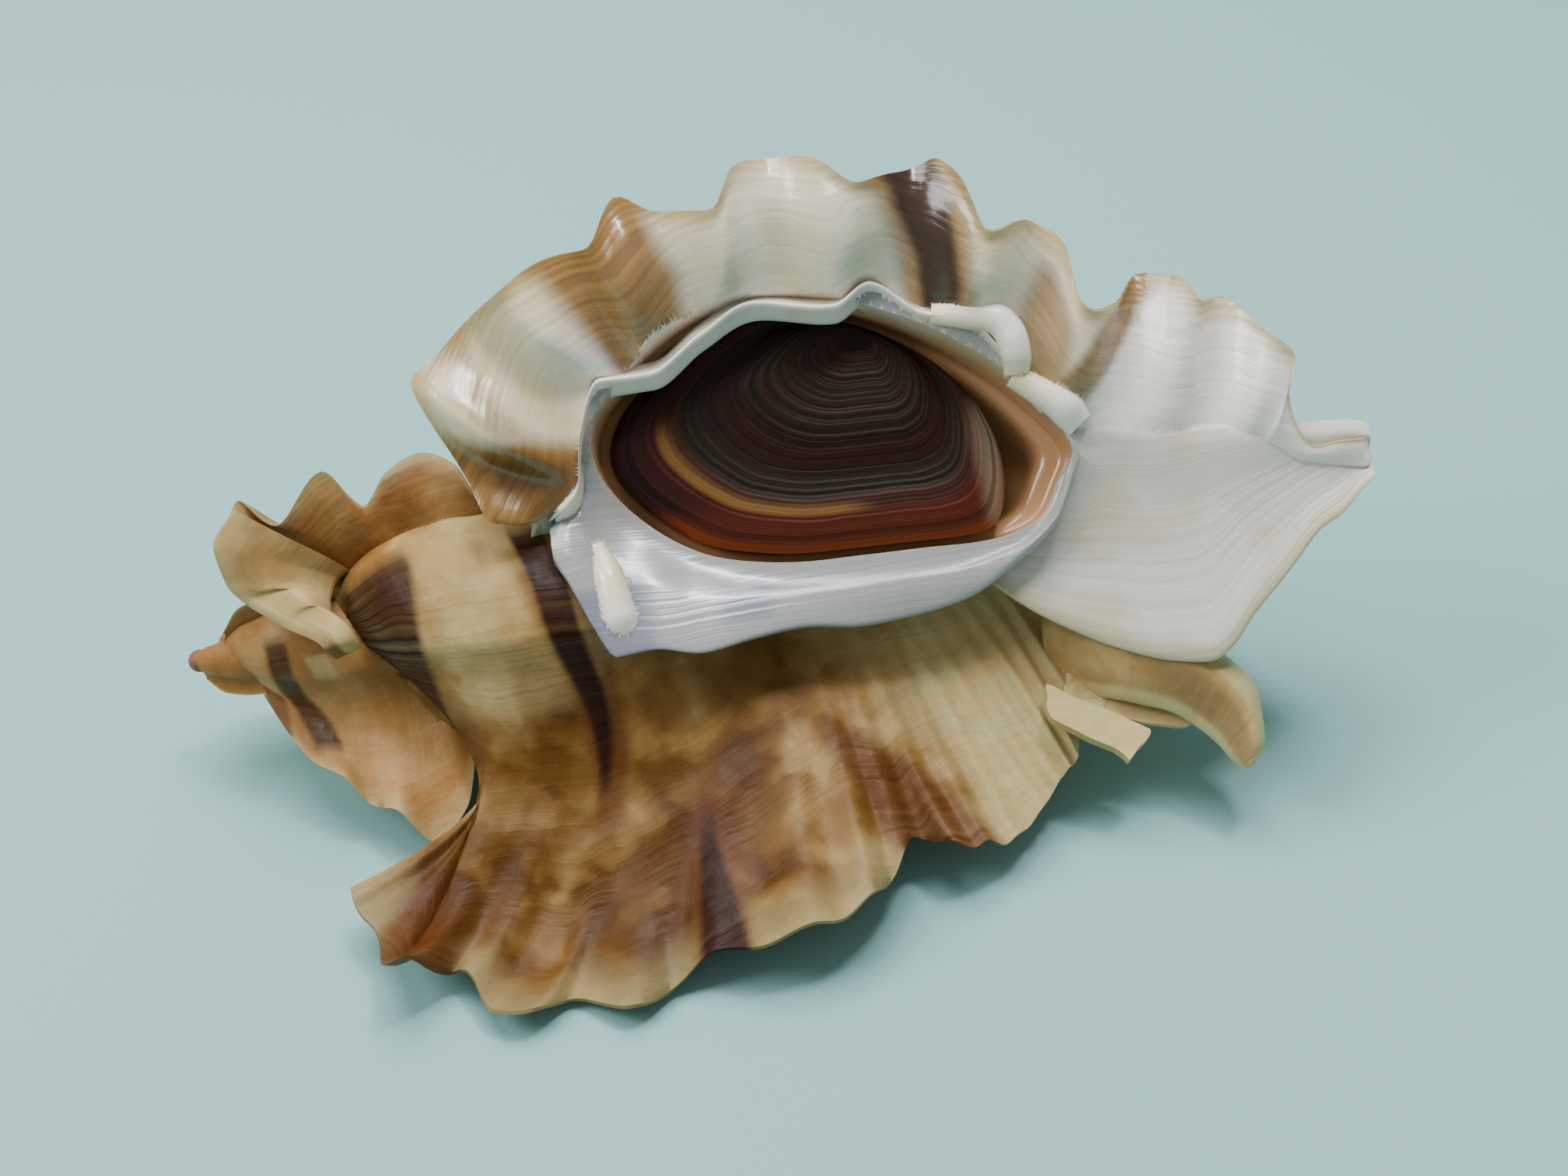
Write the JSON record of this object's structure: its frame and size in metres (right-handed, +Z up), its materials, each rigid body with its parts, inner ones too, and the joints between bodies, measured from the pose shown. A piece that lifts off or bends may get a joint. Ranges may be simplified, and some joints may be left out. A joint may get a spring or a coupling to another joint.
{
  "type": "murex seashell",
  "caption": "Winged murex seashell with ruffled fan-like wings, a broad curled canal, a glossy white lip and a dark horny operculum closing its mouth.",
  "frame": {"origin": "centre of the bounding box at the plane that the shell rests on", "axes": "+X from the apex toward the canal, -Y toward the viewer whom the mouth faces, +Z up as the shell lies"},
  "size_m": [0.0976, 0.0624, 0.0481],
  "materials": {
    "shell": "calcified shell, tan with brown bands, satin outside and glossy white at the lip",
    "operculum": "horny plate, dark brown, satin with fine growth rings"
  },
  "bodies": {
    "root": {"shell": "shell", "operculum": "operculum"}
  },
  "joints": []
}
